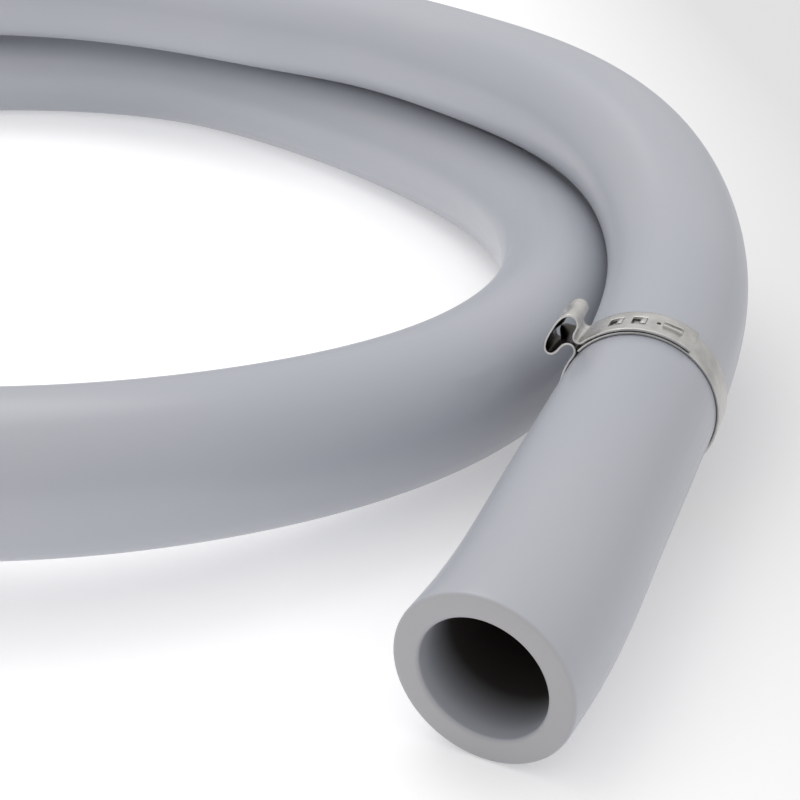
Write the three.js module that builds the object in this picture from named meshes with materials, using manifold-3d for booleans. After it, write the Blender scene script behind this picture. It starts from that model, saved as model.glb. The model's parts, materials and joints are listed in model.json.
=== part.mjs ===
// A drain hose with one ear clamp, lying in a loose coil on a flat surface.
// Millimetres, +Z up. The near mouth faces -Y, and the surface is z = 0.
import * as THREE from "three";
import { mergeVertices } from "three/addons/utils/BufferGeometryUtils.js";
import Module from "manifold-3d";

const wasm = await Module();
wasm.setup();

// Driving dimensions
const hoseDiameter = 36;
const hoseBore = 25.4;
const hoseSides = 16;
const stepLength = 25; // along the route
const jointGap = 0.3; // between two lengths of hose
const nearEndLength = 120; // the straight end, which the clamp slides on
const turnEnds = [590, 1060, 1500]; // along the hose, from the near mouth
const farEndLength = 70;

const stripThickness = 0.6;
const stripWidth = 9;
const bandRadius = 18.65; // of the strip's middle, where it lies on the hose
const overlapRadius = 19.5; // where it lies on itself
const clampFromMouth = 104.5; // from the mouth to the strip's near edge, along the hose
const clampTravel = 60; // towards the mouth
const earAngle = 138; // degrees, anticlockwise from +X, seen from the mouth
const tongueTip = 2.5; // degrees, from the ear to the strip's inner end
const overlapEnd = -84; // degrees from the ear to the strip's outer end
const earRoots = [9, -13]; // degrees from the ear, where the strip leaves the round and comes back
const arcStep = 6; // degrees between two points of a round stretch
const earSteps = 3; // between two points of the ear's line

// The ear's middle line, from the tongue side to the overlap side: across, and out from the axis.
const earLine = [
  [-1.75, 18.95],
  [-1.05, 19.5],
  [-0.75, 20.3],
  [-1.4, 21.35],
  [-3, 21.8],
  [-4.9, 21.7],
  [-6.2, 22.1],
  [-6.7, 23.1],
  [-5.9, 24.4],
  [-3.9, 25.5],
  [-0.8, 26.4],
  [2, 26.75],
  [4, 26.1],
  [4.8, 24.8],
  [4.35, 23.4],
  [3.1, 22.45],
  [1.5, 21.9],
  [0.65, 21],
  [0.6, 20.2],
  [1.15, 19.6],
  [2.5, 19.35],
];

const windows = [-28, -44]; // degrees from the ear to each window's middle
const windowLength = 3.3;
const windowWidth = 3.3;
const hookLength = 1.9;
const hookWidth = 2.6;
const guideAngle = -66.5;
const guideLength = 4.8;
const guideWidth = 2.2;
const guideHeight = 0.5; // above the middle of the overlap
const guideSlit = 0.4; // round the guide
const hookHeight = 0.25; // above the middle of the overlap
const cutMargin = 0.05; // a cut stops this far above the band below, and passes the overlap by a strip
const weldDistance = 0.001;

// The hose's middle line, from the near mouth to the far one.
const route = [
  [240.9, -153.9, 18],
  [240.9, -141.9, 18.9],
  [239.3, -121.9, 20.3],
  [236.6, -100.9, 22.2],
  [234, -79.9, 24.1],
  [231.4, -58.9, 26],
  [228.7, -37.9, 27.9],
  [224, -11.1, 32],
  [214.3, 19.5, 37.2],
  [186.5, 64.3, 47.7],
  [145.5, 100.1, 53.5],
  [98.4, 128.7, 54.5],
  [47.7, 151.3, 54.7],
  [-5.7, 166.2, 53.1],
  [-60.8, 172.2, 53.7],
  [-115.8, 167.1, 54.4],
  [-166.2, 145, 55],
  [-206.5, 107.6, 55.3],
  [-232.3, 59.1, 54.9],
  [-241, 4.9, 53.7],
  [-232.1, -49.3, 50.4],
  [-207.4, -98.4, 47.1],
  [-170.2, -138.7, 43],
  [-123.9, -168.2, 39.1],
  [-71.9, -186.1, 35.8],
  [-17.2, -192.1, 33.2],
  [37.6, -186.4, 31.5],
  [90, -169.4, 30.2],
  [137.2, -141.2, 28.4],
  [170.5, -97.9, 25.2],
  [185.4, -45.1, 21.2],
  [182.8, 9.7, 19.4],
  [163, 61, 18.4],
  [128.3, 103.6, 18.1],
  [83.9, 136.2, 18],
  [35, 161.7, 18],
  [-16.5, 181.4, 18],
  [-70.6, 192, 18],
  [-125.3, 182.5, 18],
  [-173.4, 154.7, 18],
  [-209.9, 110.9, 18],
  [-222.3, 82.9, 18],
  [-229, 54.4, 18],
];

const hoseMaterial = new THREE.MeshStandardMaterial({ color: 0xb4b7bf, roughness: 0.38 });
const steelMaterial = new THREE.MeshStandardMaterial({ color: 0xaaa69f, roughness: 0.32, metalness: 1 });

const centreLine = new THREE.CatmullRomCurve3(route.map((point) => new THREE.Vector3(...point)));
centreLine.arcLengthDivisions = 2000;
const hoseLength = centreLine.getLength();

// The lengths of hose, each from one distance along the route to another.
const farEndStart = hoseLength - farEndLength;
const lengths = {
  hose_near_end: [0, nearEndLength],
  hose_upper_turn: [nearEndLength, turnEnds[0]],
  hose_left_turn: [turnEnds[0], turnEnds[1]],
  hose_front_turn: [turnEnds[1], turnEnds[2]],
  hose_lower_turn: [turnEnds[2], farEndStart],
  hose_far_end: [farEndStart, hoseLength],
};

// One stretch of the route, as a curve of its own.
class Stretch extends THREE.Curve {
  constructor(start, end) {
    super();
    this.start = start;
    this.end = end;
  }
  getPoint(t, target = new THREE.Vector3()) {
    const distance = THREE.MathUtils.lerp(this.start, this.end, t);
    return centreLine.getPointAt(distance / hoseLength, target);
  }
}

function circle(radius) {
  const corners = [];
  for (let i = 0; i < hoseSides; i++) {
    const angle = (2 * Math.PI * i) / hoseSides;
    corners.push(new THREE.Vector2(radius * Math.cos(angle), radius * Math.sin(angle)));
  }
  return corners;
}

function hoseGeometry(start, end) {
  const section = new THREE.Shape(circle(hoseDiameter / 2));
  section.holes.push(new THREE.Path(circle(hoseBore / 2)));
  const from = start > 0 ? start + jointGap / 2 : start;
  const to = end < hoseLength ? end - jointGap / 2 : end;
  const steps = Math.ceil((to - from) / stepLength);
  return new THREE.ExtrudeGeometry(section, { steps, extrudePath: new Stretch(from, to) });
}

function toSolid(geometry) {
  geometry.deleteAttribute("normal");
  geometry.deleteAttribute("uv");
  const merged = mergeVertices(geometry, weldDistance);
  return new wasm.Manifold(
    new wasm.Mesh({
      numProp: 3,
      vertProperties: merged.attributes.position.array,
      triVerts: new Uint32Array(merged.index.array),
    }),
  );
}

function toGeometry(solid) {
  const mesh = solid.getMesh();
  const geometry = new THREE.BufferGeometry();
  geometry.setAttribute("position", new THREE.BufferAttribute(mesh.vertProperties, 3));
  geometry.setIndex(new THREE.BufferAttribute(mesh.triVerts, 1));
  geometry.computeVertexNormals();
  return geometry;
}

// In the clamp's own plane: degrees from the ear, anticlockwise seen from the mouth.
function atAngle(fromEar, radius) {
  const angle = THREE.MathUtils.degToRad(earAngle + fromEar);
  return new THREE.Vector2(radius * Math.cos(angle), radius * Math.sin(angle));
}

// In the clamp's own plane: across the ear, clockwise, and out from the axis.
function atEar(across, out) {
  const angle = THREE.MathUtils.degToRad(earAngle);
  const outward = new THREE.Vector2(Math.cos(angle), Math.sin(angle));
  const clockwise = new THREE.Vector2(outward.y, -outward.x);
  return outward.multiplyScalar(out).addScaledVector(clockwise, across);
}

function arc(startAngle, endAngle, radius) {
  const count = Math.ceil(Math.abs(endAngle - startAngle) / arcStep);
  const points = [];
  for (let i = 0; i <= count; i++) {
    points.push(atAngle(THREE.MathUtils.lerp(startAngle, endAngle, i / count), radius));
  }
  return points;
}

// The strip's middle line: from under the ear round the hose, the ear itself, the overlap.
function stripLine() {
  const ear = new THREE.SplineCurve(earLine.map(([across, out]) => atEar(across, out)));
  return [
    ...arc(tongueTip, earRoots[0] - 360, bandRadius),
    ...ear.getPoints(earSteps * (earLine.length - 1)),
    ...arc(earRoots[1], overlapEnd, overlapRadius),
  ];
}

function stripGeometry() {
  const line = stripLine();
  const sideOf = (sign) =>
    line.map((point, i) => {
      const before = line[Math.max(i - 1, 0)];
      const after = line[Math.min(i + 1, line.length - 1)];
      const along = after.clone().sub(before).normalize();
      const half = (sign * stripThickness) / 2;
      return new THREE.Vector2(point.x - along.y * half, point.y + along.x * half);
    });
  const outline = new THREE.Shape([...sideOf(1), ...sideOf(-1).reverse()]);
  const geometry = new THREE.ExtrudeGeometry(outline, { depth: stripWidth, bevelEnabled: false });
  return geometry.translate(0, 0, -stripWidth);
}

// A block that lies along the band, from one radius to another, at an angle from the ear.
function bandBlock(fromEar, length, width, innerRadius, outerRadius) {
  const place = atAngle(fromEar, (innerRadius + outerRadius) / 2);
  const block = new THREE.BoxGeometry(length, outerRadius - innerRadius, width);
  block.rotateZ(THREE.MathUtils.degToRad(earAngle + fromEar - 90));
  return toSolid(block.translate(place.x, place.y, -stripWidth / 2));
}

function clampGeometry() {
  const slotInside = bandRadius + stripThickness / 2 + cutMargin;
  const slotOutside = overlapRadius + stripThickness;
  const hookOutside = overlapRadius + hookHeight;
  const guideOutside = overlapRadius + guideHeight;
  const slitLength = guideLength + 2 * guideSlit;
  const slitWidth = guideWidth + 2 * guideSlit;
  let strip = toSolid(stripGeometry());
  for (const angle of windows) {
    strip = strip
      .subtract(bandBlock(angle, windowLength, windowWidth, slotInside, slotOutside))
      .add(bandBlock(angle, hookLength, hookWidth, bandRadius, hookOutside));
  }
  return toGeometry(
    strip
      .subtract(bandBlock(guideAngle, slitLength, slitWidth, slotInside, slotOutside))
      .add(bandBlock(guideAngle, guideLength, guideWidth, bandRadius, guideOutside)),
  );
}

function namedMesh(name, geometry, material) {
  const mesh = new THREE.Mesh(geometry, material);
  mesh.name = name;
  return mesh;
}

const hoseKit = new THREE.Group();
for (const [name, [start, end]] of Object.entries(lengths)) {
  hoseKit.add(namedMesh(name, hoseGeometry(start, end), hoseMaterial));
}

// The clamp's own X is to the right seen from the mouth, and its Z points out of the mouth.
const clamp = namedMesh("ear_clamp", clampGeometry(), steelMaterial);
const clampPlace = centreLine.getPointAt(clampFromMouth / hoseLength);
const slideEnd = centreLine.getPointAt((clampFromMouth - clampTravel) / hoseLength);
const alongHose = clampPlace.clone().sub(slideEnd).normalize();
const right = new THREE.Vector3().crossVectors(alongHose, new THREE.Vector3(0, 0, 1)).normalize();
const upward = new THREE.Vector3().crossVectors(right, alongHose);
clamp.applyMatrix4(new THREE.Matrix4().makeBasis(right, upward, alongHose.clone().negate()));
clamp.position.copy(clampPlace);
hoseKit.add(clamp);

export default hoseKit;
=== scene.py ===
import json
import math

import bmesh
import bpy
import numpy as np
from mathutils import Matrix, Vector


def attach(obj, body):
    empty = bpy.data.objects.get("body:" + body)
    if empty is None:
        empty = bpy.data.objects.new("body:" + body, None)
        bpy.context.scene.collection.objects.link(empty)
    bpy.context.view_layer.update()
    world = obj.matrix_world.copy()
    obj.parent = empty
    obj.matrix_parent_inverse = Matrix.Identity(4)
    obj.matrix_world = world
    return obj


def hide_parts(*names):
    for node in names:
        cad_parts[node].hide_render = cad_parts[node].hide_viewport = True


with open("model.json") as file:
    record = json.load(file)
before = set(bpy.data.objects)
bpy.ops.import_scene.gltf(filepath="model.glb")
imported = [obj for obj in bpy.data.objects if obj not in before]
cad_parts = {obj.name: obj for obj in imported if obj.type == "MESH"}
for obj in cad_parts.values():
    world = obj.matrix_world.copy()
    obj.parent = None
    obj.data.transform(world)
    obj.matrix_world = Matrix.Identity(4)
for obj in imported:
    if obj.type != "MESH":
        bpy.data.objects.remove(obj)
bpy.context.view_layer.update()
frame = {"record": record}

# A drain hose with one ear clamp, lying in a loose coil. Metres, +Z up, on the surface z = 0.
mm = 0.001

view = {
    "place": (0.3396, -0.3672, 0.1794),
    "pitch": 65.44,  # degrees from straight down
    "heading": 28.30,  # degrees, anticlockwise from +Y
    "lens": 72.0,
    "sensor": 36.0,
}


def addCamera():
    camera = bpy.data.objects.new("camera", bpy.data.cameras.new("camera"))
    camera.location = view["place"]
    camera.rotation_euler = (math.radians(view["pitch"]), 0, math.radians(view["heading"]))
    camera.data.lens = view["lens"]
    camera.data.sensor_width = view["sensor"]
    camera.data.clip_start = 0.01
    bpy.context.collection.objects.link(camera)
    bpy.context.scene.camera = camera


# Small helpers for node trees
def addNode(tree, kind, inputs=None, **settings):
    node = tree.nodes.new(kind)
    for name, value in settings.items():
        setattr(node, name, value)
    for key, value in (inputs or {}).items():
        socket = node.inputs[key]
        if isinstance(value, bpy.types.NodeSocket):
            tree.links.new(value, socket)
        else:
            socket.default_value = value
    return node


def spread(tree, value, low=0.0, high=1.0, start=0.0, end=1.0):
    return addNode(tree, "ShaderNodeMapRange", {0: value, 1: low, 2: high, 3: start, 4: end}).outputs[0]


def mixed(tree, share, first, second):
    first, second = [(*c, 1) if isinstance(c, tuple) else c for c in (first, second)]
    return addNode(tree, "ShaderNodeMix", {0: share, 6: first, 7: second}, data_type="RGBA").outputs[2]


def noise(tree, source, stretch, scale, detail):
    stretched = addNode(tree, "ShaderNodeMapping", {0: source, 3: stretch}).outputs[0]
    spots = addNode(tree, "ShaderNodeTexNoise", {"Vector": stretched, "Scale": scale, "Detail": detail})
    return spots.outputs[0]


def newTree(name, inputs):
    tree = bpy.data.node_groups.new(name, "GeometryNodeTree")
    tree.interface.new_socket("Geometry", in_out="INPUT", socket_type="NodeSocketGeometry")
    tree.interface.new_socket("Geometry", in_out="OUTPUT", socket_type="NodeSocketGeometry")
    for label, kind in inputs:
        tree.interface.new_socket(label, in_out="INPUT", socket_type="NodeSocket" + kind)
    return tree, tree.nodes.new("NodeGroupInput").outputs


def runTree(tree, host, values, name):
    modifier = host.modifiers.new(tree.name, "NODES")
    modifier.node_group = tree
    for item in tree.interface.items_tree:
        if item.in_out == "INPUT" and item.name in values:
            modifier[item.identifier] = values[item.name]
    graph = bpy.context.evaluated_depsgraph_get()
    mesh = bpy.data.meshes.new_from_object(host.evaluated_get(graph))
    bpy.data.objects.remove(host)
    piece = bpy.data.objects.new(name, mesh)
    bpy.context.collection.objects.link(piece)
    return piece


def polyline(name, points):
    mesh = bpy.data.meshes.new(name)
    mesh.from_pydata([tuple(p) for p in points], [(i, i + 1) for i in range(len(points) - 1)], [])
    host = bpy.data.objects.new(name, mesh)
    bpy.context.collection.objects.link(host)
    return host


# A cubic spline through the points, with its ends free: many points and how far along each one is
def smoothLine(points):
    p = np.array(points, float)
    t = np.concatenate(([0.0], np.cumsum(np.linalg.norm(np.diff(p, axis=0), axis=1))))
    h = np.diff(t)
    count = len(p)
    system = np.eye(count)
    pull = np.zeros_like(p)
    for i in range(1, count - 1):
        system[i, i - 1 : i + 2] = h[i - 1], 2 * (h[i - 1] + h[i]), h[i]
        pull[i] = 6 * ((p[i + 1] - p[i]) / h[i] - (p[i] - p[i - 1]) / h[i - 1])
    bend = np.linalg.solve(system, pull)
    fine = np.linspace(0, t[-1], 80 * count)
    k = np.clip(np.searchsorted(t, fine, side="right") - 1, 0, count - 2)
    b = ((fine - t[k]) / h[k])[:, None]
    a = 1 - b
    sag = ((a**3 - a) * bend[k] + (b**3 - b) * bend[k + 1]) * h[k][:, None] ** 2 / 6
    line = a * p[k] + b * p[k + 1] + sag
    walked = np.concatenate(([0.0], np.cumsum(np.linalg.norm(np.diff(line, axis=0), axis=1))))
    return line, walked


def pointsAt(smooth, stops):
    line, walked = smooth
    return np.stack([np.interp(stops, walked, column) for column in line.T], axis=-1)


hose = {
    "diameter": 36 * mm,
    "bore": 25.4 * mm,
    "rimRounding": 0.9 * mm,
    "sides": 80,
    "rings": 460,
    "routeSpacing": 2 * mm,
    "route": [  # the middle line, in millimetres, from the near mouth to the far one
        (240.9, -153.9, 18), (240.9, -141.9, 18.9), (239.3, -121.9, 20.3), (236.6, -100.9, 22.2),
        (234, -79.9, 24.1), (231.4, -58.9, 26), (228.7, -37.9, 27.9), (224, -11.1, 32),
        (214.3, 19.5, 37.2), (186.5, 64.3, 47.7), (145.5, 100.1, 53.5), (98.4, 128.7, 54.5),
        (47.7, 151.3, 54.7), (-5.7, 166.2, 53.1), (-60.8, 172.2, 53.7), (-115.8, 167.1, 54.4),
        (-166.2, 145, 55), (-206.5, 107.6, 55.3), (-232.3, 59.1, 54.9), (-241, 4.9, 53.7),
        (-232.1, -49.3, 50.4), (-207.4, -98.4, 47.1), (-170.2, -138.7, 43), (-123.9, -168.2, 39.1),
        (-71.9, -186.1, 35.8), (-17.2, -192.1, 33.2), (37.6, -186.4, 31.5), (90, -169.4, 30.2),
        (137.2, -141.2, 28.4), (170.5, -97.9, 25.2), (185.4, -45.1, 21.2), (182.8, 9.7, 19.4),
        (163, 61, 18.4), (128.3, 103.6, 18.1), (83.9, 136.2, 18), (35, 161.7, 18),
        (-16.5, 181.4, 18), (-70.6, 192, 18), (-125.3, 182.5, 18), (-173.4, 154.7, 18),
        (-209.9, 110.9, 18), (-222.3, 82.9, 18), (-229, 54.4, 18),
    ],
}


def hoseTree():
    tree, given = newTree(
        "hoseAlongRoute",
        [("Diameter", "Float"), ("Bore", "Float"), ("Rim rounding", "Float"), ("Length", "Float"),
         ("Sides", "Int"), ("Rings", "Int"), ("Material", "Material")],
    )

    def maths(operation, first, second=0.0):
        return addNode(tree, "ShaderNodeMath", {0: first, 1: second}, operation=operation).outputs[0]

    def vectors(operation, **inputs):
        keyed = {int(key[1:]): value for key, value in inputs.items()}
        return addNode(tree, "ShaderNodeVectorMath", keyed, operation=operation)

    # The wall's section: a long thin rectangle with rounded corners, cut up along its long sides only
    wall = maths("MULTIPLY", maths("SUBTRACT", given["Diameter"], given["Bore"]), 0.5)
    section = addNode(tree, "GeometryNodeCurvePrimitiveQuadrilateral",
                      {"Width": wall, "Height": given["Length"]}, mode="RECTANGLE")
    rounded = addNode(tree, "GeometryNodeFilletCurve",
                      {"Curve": section.outputs[0], "Radius": given["Rim rounding"],
                       "Count": 5}, mode="POLY")
    size = addNode(tree, "GeometryNodeAttributeDomainSize", {0: rounded.outputs[0]}, component="CURVE")
    index = addNode(tree, "GeometryNodeInputIndex").outputs[0]
    place = addNode(tree, "GeometryNodeInputPosition").outputs[0]
    following = maths("MODULO", maths("ADD", index, 1.0), size.outputs["Point Count"])
    nextPlace = addNode(tree, "GeometryNodeFieldAtIndex", {"Index": following, "Value": place},
                        data_type="FLOAT_VECTOR", domain="POINT").outputs[0]
    gap = vectors("DISTANCE", _0=place, _1=nextPlace).outputs["Value"]
    isLong = maths("GREATER_THAN", gap, given["Diameter"])
    cuts = maths("MULTIPLY", isLong, given["Rings"])
    divided = addNode(tree, "GeometryNodeSubdivideCurve", {"Curve": rounded.outputs[0], "Cuts": cuts})

    # A straight hose: the section goes once round
    middle = maths("MULTIPLY", maths("ADD", given["Diameter"], given["Bore"]), 0.25)
    around = addNode(tree, "GeometryNodeCurvePrimitiveCircle",
                     {"Resolution": given["Sides"], "Radius": middle}, mode="RADIUS")
    upright = addNode(tree, "GeometryNodeSetCurveNormal", {"Curve": around.outputs[0]}, mode="Z_UP")
    straight = addNode(tree, "GeometryNodeCurveToMesh",
                       {"Curve": upright.outputs[0], "Profile Curve": divided.outputs[0]})
    lift = addNode(tree, "ShaderNodeCombineXYZ", {2: maths("MULTIPLY", given["Length"], 0.5)})
    raised = addNode(tree, "GeometryNodeSetPosition",
                     {"Geometry": straight.outputs[0], "Offset": lift.outputs[0]})
    kept = addNode(tree, "GeometryNodeStoreNamedAttribute",
                   {"Geometry": raised.outputs[0], "Name": "straightPlace", "Value": place},
                   data_type="FLOAT_VECTOR", domain="POINT")

    # Laid along the route: its own Z becomes the distance walked
    route = addNode(tree, "GeometryNodeMeshToCurve", {"Mesh": given["Geometry"]})
    parts = addNode(tree, "ShaderNodeSeparateXYZ", {0: place})
    walked = addNode(tree, "GeometryNodeSampleCurve",
                     {"Curves": route.outputs[0], "Length": parts.outputs[2]}, mode="LENGTH")
    side = vectors("CROSS_PRODUCT", _0=walked.outputs["Tangent"], _1=walked.outputs["Normal"]).outputs[0]
    acrossOne = vectors("SCALE", _0=walked.outputs["Normal"], _3=parts.outputs[0]).outputs[0]
    acrossTwo = vectors("SCALE", _0=side, _3=parts.outputs[1]).outputs[0]
    across = vectors("ADD", _0=acrossOne, _1=acrossTwo).outputs[0]
    bent = vectors("ADD", _0=walked.outputs["Position"], _1=across).outputs[0]
    laid = addNode(tree, "GeometryNodeSetPosition", {"Geometry": kept.outputs[0], "Position": bent})
    smooth = addNode(tree, "GeometryNodeSetShadeSmooth", {"Geometry": laid.outputs[0]})
    real = addNode(tree, "GeometryNodeRealizeInstances", {"Geometry": smooth.outputs[0]})
    dressed = addNode(tree, "GeometryNodeSetMaterial",
                      {"Geometry": real.outputs[0], "Material": given["Material"]})
    addNode(tree, "NodeGroupOutput", {0: dressed.outputs[0]})
    return tree


def facesOut(piece):
    shell = bmesh.new()
    shell.from_mesh(piece.data)
    bmesh.ops.remove_doubles(shell, verts=shell.verts, dist=0.001 * mm)
    bmesh.ops.recalc_face_normals(shell, faces=shell.faces)
    shell.to_mesh(piece.data)
    shell.free()


def makeHose(route, material):
    length = hose["length"]
    line = pointsAt(route, np.linspace(0, length, round(length / hose["routeSpacing"]) + 1))
    piece = runTree(hoseTree(), polyline("hoseRoute", line), {
        "Diameter": hose["diameter"], "Bore": hose["bore"], "Rim rounding": hose["rimRounding"],
        "Length": length, "Sides": hose["sides"], "Rings": hose["rings"], "Material": material,
    }, "hose")
    facesOut(piece)
    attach(piece, "hose")
    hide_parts(*frame["record"]["behaviour"]["bodies"]["hose"])
    print(f"hose: {length:.3f} m, {len(piece.data.polygons)} faces")


vinylLook = {
    "colour": (0.405, 0.418, 0.462),
    "colourOther": (0.425, 0.436, 0.474),  # cloudy, some centimetres wide
    "cutFace": (0.39, 0.385, 0.40),
    # painted shade: the bore's colour deeper in, painted almost black
    "inside": (0.06, 0.054, 0.05),
    "boreShadeFrom": 3 * mm,  # from the mouth: the bore's painted shade grows from here to the next distance
    "boreShadeTo": 14 * mm,
    "shine": 0.31,
}


def vinyl():
    material = bpy.data.materials.new("greyVinyl")
    material.use_nodes = True
    tree = material.node_tree
    shader = tree.nodes["Principled BSDF"]
    place = addNode(tree, "ShaderNodeAttribute", attribute_name="straightPlace").outputs["Vector"]
    parts = addNode(tree, "ShaderNodeSeparateXYZ", {0: place}).outputs
    across = addNode(tree, "ShaderNodeCombineXYZ", {0: parts[0], 1: parts[1]}).outputs[0]
    radius = addNode(tree, "ShaderNodeVectorMath", {0: across}, operation="LENGTH").outputs["Value"]

    def maths(operation, first, second):
        return addNode(tree, "ShaderNodeMath", {0: first, 1: second}, operation=operation).outputs[0]

    cloud = noise(tree, place, (1, 1, 0.35), 28, 2)
    grain = noise(tree, place, (1, 1, 1), 2600, 2)
    drawn = noise(tree, place, (1, 1, 0.03), 420, 3)  # faint lines along the hose, from the die
    bands = noise(tree, place, (0.4, 0.4, 1), 55, 1)

    length = hose["length"]
    fromEnd = maths("MINIMUM", parts[2], maths("SUBTRACT", length, parts[2]))
    isCut = spread(tree, fromEnd, 0.6 * mm, 0.15 * mm)
    boreRadius = hose["bore"] / 2
    isBore = spread(tree, radius, boreRadius + 0.6 * mm, boreRadius + 0.1 * mm)
    # painted shade in the bore, growing between the two distances from each mouth
    boreShade = maths("MULTIPLY", isBore, spread(tree, fromEnd, vinylLook["boreShadeFrom"], vinylLook["boreShadeTo"]))

    wall = mixed(tree, spread(tree, cloud, 0.35, 0.65), vinylLook["colour"], vinylLook["colourOther"])
    colour = mixed(tree, boreShade, mixed(tree, isCut, wall, vinylLook["cutFace"]), vinylLook["inside"])
    tree.links.new(colour, shader.inputs["Base Color"])

    rough = spread(tree, drawn, 0.3, 0.7, vinylLook["shine"] - 0.03, vinylLook["shine"] + 0.05)
    rough = maths("ADD", rough, maths("MULTIPLY", isCut, 0.28))
    tree.links.new(rough, shader.inputs["Roughness"])
    fine = addNode(tree, "ShaderNodeBump", {"Strength": 0.05, "Distance": 0.05 * mm, "Height": grain})
    lines = addNode(tree, "ShaderNodeBump", {"Strength": 0.25, "Distance": 0.02 * mm, "Height": drawn,
                                             "Normal": fine.outputs[0]})
    waves = addNode(tree, "ShaderNodeBump", {"Strength": 0.3, "Distance": 0.12 * mm, "Height": bands,
                                             "Normal": lines.outputs[0]})
    tree.links.new(waves.outputs[0], shader.inputs["Normal"])
    shader.inputs["IOR"].default_value = 1.5
    return material


clamp = {  # millimetres, and degrees from the ear, anticlockwise seen from the mouth
    "fromMouth": 104.5,
    "travel": 60,
    "stripThickness": 0.6,
    "stripWidth": 9,
    "bandRadius": 18.45,  # of the strip's middle, where it lies on the hose
    "overlapRadius": 19.3,  # where it lies on itself
    "earAngle": 138,  # from the horizontal
    "earFoot": 9,
    "earEnd": -14,
    "tongueTip": 2.5,
    "overlapEnd": -84,
    "earLine": [  # across the ear, clockwise, and out from the axis
        (-1.75, 18.6), (-1.05, 19.3), (-0.72, 20.3), (-1.35, 21.4), (-3, 21.8), (-4.9, 21.7), (-6.2, 22.1),
        (-6.7, 23.1), (-5.9, 24.4), (-3.9, 25.5), (-0.8, 26.4), (2, 26.75), (4, 26.1), (4.8, 24.8),
        (4.35, 23.4), (3.1, 22.45), (1.5, 21.9), (0.65, 21), (0.6, 20.2), (1.15, 19.5), (2.5, 19.25),
    ],
    "windows": (-28, -44),
    "windowLength": 3.3,
    "windowWidth": 3.3,
    "hookWidth": 2.6,
    "holeAngle": -57,
    "holeWidth": 1.0,
    "guideAngle": -67,
    "guideLength": 5.0,
    "guideWidth": 2.3,
    "ridgeWidth": 0.6,
    "edgeRounding": 0.11,
    "crownPress": 1.2,  # how far the pincers press the ear's crown in, and lift its floor
    "floorLift": 2.5,
    "step": 0.4,
}


# From degrees from the ear, or across and out at the ear, to the clamp's own plane
def aroundBand(fromEar, radius):
    angle = math.radians(clamp["earAngle"] + fromEar)
    return (radius * math.cos(angle), radius * math.sin(angle))


def atEar(across, out):
    angle = math.radians(clamp["earAngle"])
    cosine, sine = math.cos(angle), math.sin(angle)
    return (out * cosine + across * sine, out * sine - across * cosine)


def bandArc(start, end, radius, step=3):
    count = max(2, round(abs(end - start) / step) + 1)
    return [aroundBand(a, radius) for a in np.linspace(start, end, count)]


# The strip's middle line, from its inner end under the ear to its outer end
def stripLine():
    return smoothLine([
        *bandArc(clamp["tongueTip"], clamp["earFoot"] - 360, clamp["bandRadius"]),
        *[atEar(*point) for point in clamp["earLine"]],
        *bandArc(clamp["earEnd"], clamp["overlapEnd"], clamp["overlapRadius"]),
    ])


# The pincers leave the ear's hollow narrower at its middle than at its two mouths
def pressIn(x, y, z):
    angle = math.radians(clamp["earAngle"])
    out = x * math.cos(angle) + y * math.sin(angle)
    across = x * math.sin(angle) - y * math.cos(angle)
    share = z / clamp["stripWidth"]
    middle = math.exp(-((share - 0.55) / 0.27) ** 2)
    farther = math.exp(-((share - 0.85) / 0.30) ** 2)
    crown = math.exp(-((out - 26.6) / 1.1) ** 2 - ((across + 0.5) / 3.6) ** 2)
    floor = math.exp(-((out - 21.9) / 0.8) ** 2) * math.exp(-((abs(across + 0.4) - 2.9) / 1.3) ** 2)
    shift = clamp["floorLift"] * farther * floor - clamp["crownPress"] * middle * crown
    return x + shift * math.cos(angle), y + shift * math.sin(angle)


# A sheet with its windows left out, which then gets its thickness and its rounded edges
def stripSheet():
    smooth = stripLine()
    total = smooth[1][-1]
    toMm = math.radians(1) * clamp["overlapRadius"]
    breaks = []
    for window in clamp["windows"]:
        middle = total - (window - clamp["overlapEnd"]) * toMm
        breaks.append((middle - clamp["windowLength"] / 2, middle + clamp["windowLength"] / 2))
    edges = [edge for pair in breaks for edge in pair]
    stops = [s for s in np.linspace(0, total, round(total / clamp["step"]) + 1)
             if min(abs(s - edge) for edge in edges) > clamp["step"] / 3]
    stops = sorted(stops + edges)
    half = (clamp["stripWidth"] - clamp["windowWidth"]) / 2
    ends = (0, half, clamp["stripWidth"] - half, clamp["stripWidth"])
    across = sorted({round(float(z), 4) for a, b in zip(ends, ends[1:]) for z in np.linspace(a, b, 5)})
    places = pointsAt(smooth, stops)
    sheet = bmesh.new()
    uv = sheet.loops.layers.uv.new("stripMap")
    grid = [[sheet.verts.new((*pressIn(x, y, z), -z)) for z in across] for x, y in places]
    for i in range(len(stops) - 1):
        middle = (stops[i] + stops[i + 1]) / 2
        inWindow = any(start < middle < end for start, end in breaks)
        for j in range(len(across) - 1):
            if inWindow and half < (across[j] + across[j + 1]) / 2 < clamp["stripWidth"] - half:
                continue
            face = sheet.faces.new((grid[i][j], grid[i + 1][j], grid[i + 1][j + 1], grid[i][j + 1]))
            for loop, (a, b) in zip(face.loops, ((i, j), (i + 1, j), (i + 1, j + 1), (i, j + 1))):
                loop[uv].uv = (stops[a] / 10, across[b] / 10)
    mesh = bpy.data.meshes.new("strip")
    sheet.to_mesh(mesh)
    sheet.free()
    return mesh


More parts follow.
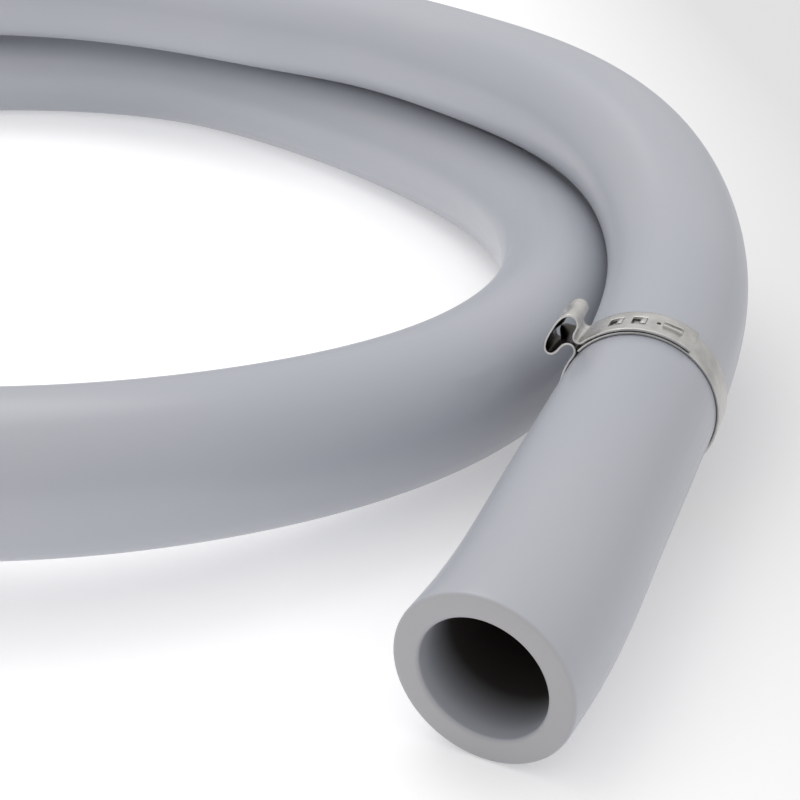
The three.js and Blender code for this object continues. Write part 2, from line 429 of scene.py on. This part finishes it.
# A small pressed shape that stands on the band: its side outline (along, out), as wide as it is across
def pressedShape(fromEar, outline, width, offset=0.0):
    shape = bmesh.new()
    uv = shape.loops.layers.uv.new("stripMap")
    middle = clamp["stripWidth"] / 2
    rows = []
    for z in (middle - width / 2 + offset, middle + width / 2 + offset):
        row = []
        for along, out in outline:
            turn = fromEar - math.degrees(along / out)
            x, y = aroundBand(turn, out)
            row.append(shape.verts.new((x, y, -z)))
        rows.append(row)
    count = len(outline)
    shape.faces.new(rows[0])
    shape.faces.new(rows[1][::-1])
    for i in range(count):
        k = (i + 1) % count
        shape.faces.new((rows[0][i], rows[1][i], rows[1][k], rows[0][k]))
    for face in shape.faces:
        for loop in face.loops:
            loop[uv].uv = (loop.vert.co.x / 10, loop.vert.co.z / 10)
    bmesh.ops.recalc_face_normals(shape, faces=shape.faces)
    mesh = bpy.data.meshes.new("pressedShape")
    shape.to_mesh(mesh)
    shape.free()
    return mesh


# A round pin through the overlap alone, at an angle from the ear
def pinMesh(fromEar, radius):
    pin = bmesh.new()
    bmesh.ops.create_cone(pin, cap_ends=True, segments=24, radius1=radius, radius2=radius, depth=1.0)
    aroundAxis = Matrix.Rotation(math.radians(clamp["earAngle"] + fromEar), 4, "Z")
    turn = aroundAxis @ Matrix.Rotation(math.pi / 2, 4, "Y")
    x, y = aroundBand(fromEar, clamp["overlapRadius"] + 0.1)
    pin.transform(Matrix.Translation((x, y, -clamp["stripWidth"] / 2)) @ turn)
    mesh = bpy.data.meshes.new("pin")
    pin.to_mesh(mesh)
    pin.free()
    return mesh


def finished(mesh, modifiers):
    host = bpy.data.objects.new(mesh.name, mesh)
    bpy.context.collection.objects.link(host)
    for kind, settings in modifiers:
        modifier = host.modifiers.new(kind, kind)
        for name, value in settings.items():
            setattr(modifier, name, value)
    graph = bpy.context.evaluated_depsgraph_get()
    result = bpy.data.meshes.new_from_object(host.evaluated_get(graph))
    bpy.data.objects.remove(host)
    return result


# One where a point is on the inner side of the ear's fold, where painted shade goes
def earShadeMask(co, normal):
    angle = math.radians(clamp["earAngle"])
    out = co.x * math.cos(angle) + co.y * math.sin(angle)
    across = co.x * math.sin(angle) - co.y * math.cos(angle)
    if out < 21.0 or abs(normal.z) > 0.6:
        return 0.0
    centre = Vector((*atEar(-0.9, 24.0), co.z))  # the hollow's middle
    inward = (centre - co).dot(normal)
    return 1.0 if inward > 0.1 else 0.0


def makeClamp(route, material):
    rounding = ("BEVEL", {"width": clamp["edgeRounding"], "segments": 2, "limit_method": "ANGLE",
                          "angle_limit": math.radians(50)})
    inside = clamp["bandRadius"]
    top = clamp["overlapRadius"] + clamp["stripThickness"] / 2
    hook = [(-0.15, inside), (0.05, inside + 0.8), (0.5, top + 0.1), (1.1, top + 0.18),
            (1.6, top + 0.05), (1.6, inside)]
    low = clamp["overlapRadius"]
    reach = clamp["guideLength"] / 2
    ridge = [(-reach, low), (-reach + 0.25, top + 0.65), (reach - 0.3, top + 0.8), (reach, low)]
    guideFloor = [(-reach + 0.1, low), (-reach + 0.4, top + 0.12), (reach - 0.5, top + 0.14),
                  (reach - 0.1, low)]
    drill = bpy.data.objects.new("drill", pinMesh(clamp["holeAngle"], clamp["holeWidth"] / 2))
    bpy.context.collection.objects.link(drill)
    parts = [finished(stripSheet(), [
        ("SOLIDIFY", {"thickness": clamp["stripThickness"], "offset": 0}), rounding,
        ("BOOLEAN", {"operation": "DIFFERENCE", "object": drill})])]
    bpy.data.objects.remove(drill)
    side = (clamp["guideWidth"] - clamp["ridgeWidth"]) / 2
    shapes = [pressedShape(window, hook, clamp["hookWidth"]) for window in clamp["windows"]]
    for offset in (-side, side):
        shapes.append(pressedShape(clamp["guideAngle"], ridge, clamp["ridgeWidth"], offset))
    shapes += [pressedShape(clamp["guideAngle"], guideFloor, clamp["guideWidth"] - clamp["ridgeWidth"])]
    parts += [finished(shape, [rounding]) for shape in shapes]

    near, far = pointsAt(route, [clamp["fromMouth"] * mm, (clamp["fromMouth"] - clamp["travel"]) * mm])
    alongHose = Vector(near - far).normalized()
    right = alongHose.cross(Vector((0, 0, 1))).normalized()
    turn = Matrix((right, right.cross(alongHose), -alongHose)).transposed().to_4x4()
    place = Matrix.Translation(Vector(near)) @ turn @ Matrix.Scale(mm, 4)
    whole = bmesh.new()
    for part in parts:
        whole.from_mesh(part)
        bpy.data.meshes.remove(part)
    # painted shade: marks the inner faces of the ear's hollow
    fold = whole.verts.layers.float.new("earShadeShare")
    for vert in whole.verts:
        vert[fold] = earShadeMask(vert.co, vert.normal)
    whole.transform(place)
    bmesh.ops.recalc_face_normals(whole, faces=whole.faces)
    for face in whole.faces:
        face.smooth = True
    mesh = bpy.data.meshes.new("earClamp")
    whole.to_mesh(mesh)
    whole.free()
    mesh.set_sharp_from_angle(angle=math.radians(40))
    piece = bpy.data.objects.new("earClamp", mesh)
    bpy.context.collection.objects.link(piece)
    piece.data.materials.append(material)
    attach(piece, "clamp")
    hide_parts("ear_clamp")
    print(f"ear clamp: {len(mesh.polygons)} faces")


steelLook = {
    "colour": (0.60, 0.59, 0.57),
    "colourWorn": (0.50, 0.49, 0.475),
    "paintedEarShade": (0.05, 0.045, 0.04),  # painted shade inside the folded ear's hollow
    "brush": (0.24, 0.40),  # least and greatest roughness
}


# The strip's map has 10 mm to one unit: U along the strip, V across it
def brushedSteel():
    material = bpy.data.materials.new("brushedSteel")
    material.use_nodes = True
    tree = material.node_tree
    shader = tree.nodes["Principled BSDF"]
    place = addNode(tree, "ShaderNodeUVMap", uv_map="stripMap").outputs[0]
    spot = addNode(tree, "ShaderNodeTexCoord").outputs["Object"]

    rolled = noise(tree, place, (0.06, 1, 1), 60, 3)  # fine lines along the strip, from the rolls
    smudge = noise(tree, spot, (1, 1, 1), 260, 2)
    scratch = noise(tree, place, (0.9, 0.12, 1), 26, 4)
    worn = mixed(tree, spread(tree, smudge, 0.42, 0.68), steelLook["colour"], steelLook["colourWorn"])
    # painted shade darkens the inner faces of the ear's hollow
    earShadeShare = addNode(tree, "ShaderNodeAttribute", attribute_name="earShadeShare").outputs["Fac"]
    tree.links.new(mixed(tree, earShadeShare, worn, steelLook["paintedEarShade"]), shader.inputs["Base Color"])
    rough = spread(tree, rolled, 0.3, 0.7, *steelLook["brush"])
    tree.links.new(rough, shader.inputs["Roughness"])
    lines = addNode(tree, "ShaderNodeBump", {"Strength": 0.30, "Distance": 0.02 * mm, "Height": rolled})
    marks = addNode(tree, "ShaderNodeBump", {"Strength": 0.25, "Distance": 0.04 * mm, "Height": scratch,
                                             "Normal": lines.outputs[0]})
    tree.links.new(marks.outputs[0], shader.inputs["Normal"])
    shader.inputs["Metallic"].default_value = 1
    return material


studio = {
    "floorColour": (0.78, 0.775, 0.78),
    "floorShadedColour": (0.66, 0.655, 0.66),  # painted shade: the paper's colour where it is painted darkest
    # painted light: the paper glows brightly on one side, faintly on the other
    "floorPaintedGlow": (0.37, 0.05),
    "floorShadeWay": (0.88, 0.474),  # the way in which the paper's painted glow fades and its painted shade deepens
    "floorShadeFromTo": (0.10, 0.30),
    "roomLight": (0.52, 1.0),  # from the horizon, and from above
    "lamps": {  # place, size, watts
        "wideLamp": ((-0.55, 0.25, 1.5), 1.2, 7.0),
    },
}


def addSurroundings():
    floor = bpy.data.objects.new("floor", bpy.data.meshes.new("floor"))
    floor.data.from_pydata([(-4, -4, 0), (4, -4, 0), (4, 4, 0), (-4, 4, 0)], [], [(0, 1, 2, 3)])
    bpy.context.collection.objects.link(floor)
    paper = bpy.data.materials.new("palePaper")
    paper.use_nodes = True
    shader = paper.node_tree.nodes["Principled BSDF"]
    shader.inputs["Roughness"].default_value = 0.9
    shader.inputs["Emission Color"].default_value = (1, 1, 1, 1)
    tree = paper.node_tree
    spot = addNode(tree, "ShaderNodeTexCoord").outputs["Object"]
    way = addNode(tree, "ShaderNodeVectorMath", {0: spot, 1: (*studio["floorShadeWay"], 0)},
                  operation="DOT_PRODUCT").outputs["Value"]
    # painted light and shade on the floor: a glow that fades, and colour that darkens, across the paper
    floorShadeShare = spread(tree, way, *studio["floorShadeFromTo"])
    tree.links.new(spread(tree, floorShadeShare, 0.0, 1.0, *studio["floorPaintedGlow"]), shader.inputs["Emission Strength"])
    tint = mixed(tree, floorShadeShare, studio["floorColour"], studio["floorShadedColour"])
    tree.links.new(tint, shader.inputs["Base Color"])
    floor.data.materials.append(paper)
    world = bpy.data.worlds.new("softRoom")
    world.use_nodes = True
    background = world.node_tree.nodes["Background"]
    background.inputs[0].default_value = (1, 1, 1, 1)
    heading = addNode(world.node_tree, "ShaderNodeTexCoord").outputs["Generated"]
    height = addNode(world.node_tree, "ShaderNodeSeparateXYZ", {0: heading}).outputs[2]
    strength = spread(world.node_tree, height, 0.0, 0.9, *studio["roomLight"])
    world.node_tree.links.new(strength, background.inputs[1])
    bpy.context.scene.world = world
    for name, (place, size, watts) in studio["lamps"].items():
        lamp = bpy.data.objects.new(name, bpy.data.lights.new(name, "AREA"))
        lamp.data.size = size
        lamp.data.energy = watts
        lamp.location = place
        lamp.rotation_euler = (-Vector(place)).to_track_quat("-Z", "Y").to_euler()
        bpy.context.collection.objects.link(lamp)
    bpy.context.scene.view_settings.view_transform = "Standard"


addCamera()
route = smoothLine(np.array(hose["route"]) * mm)
hose["length"] = float(route[1][-1])
makeHose(route, vinyl())
makeClamp(route, brushedSteel())
addSurroundings()
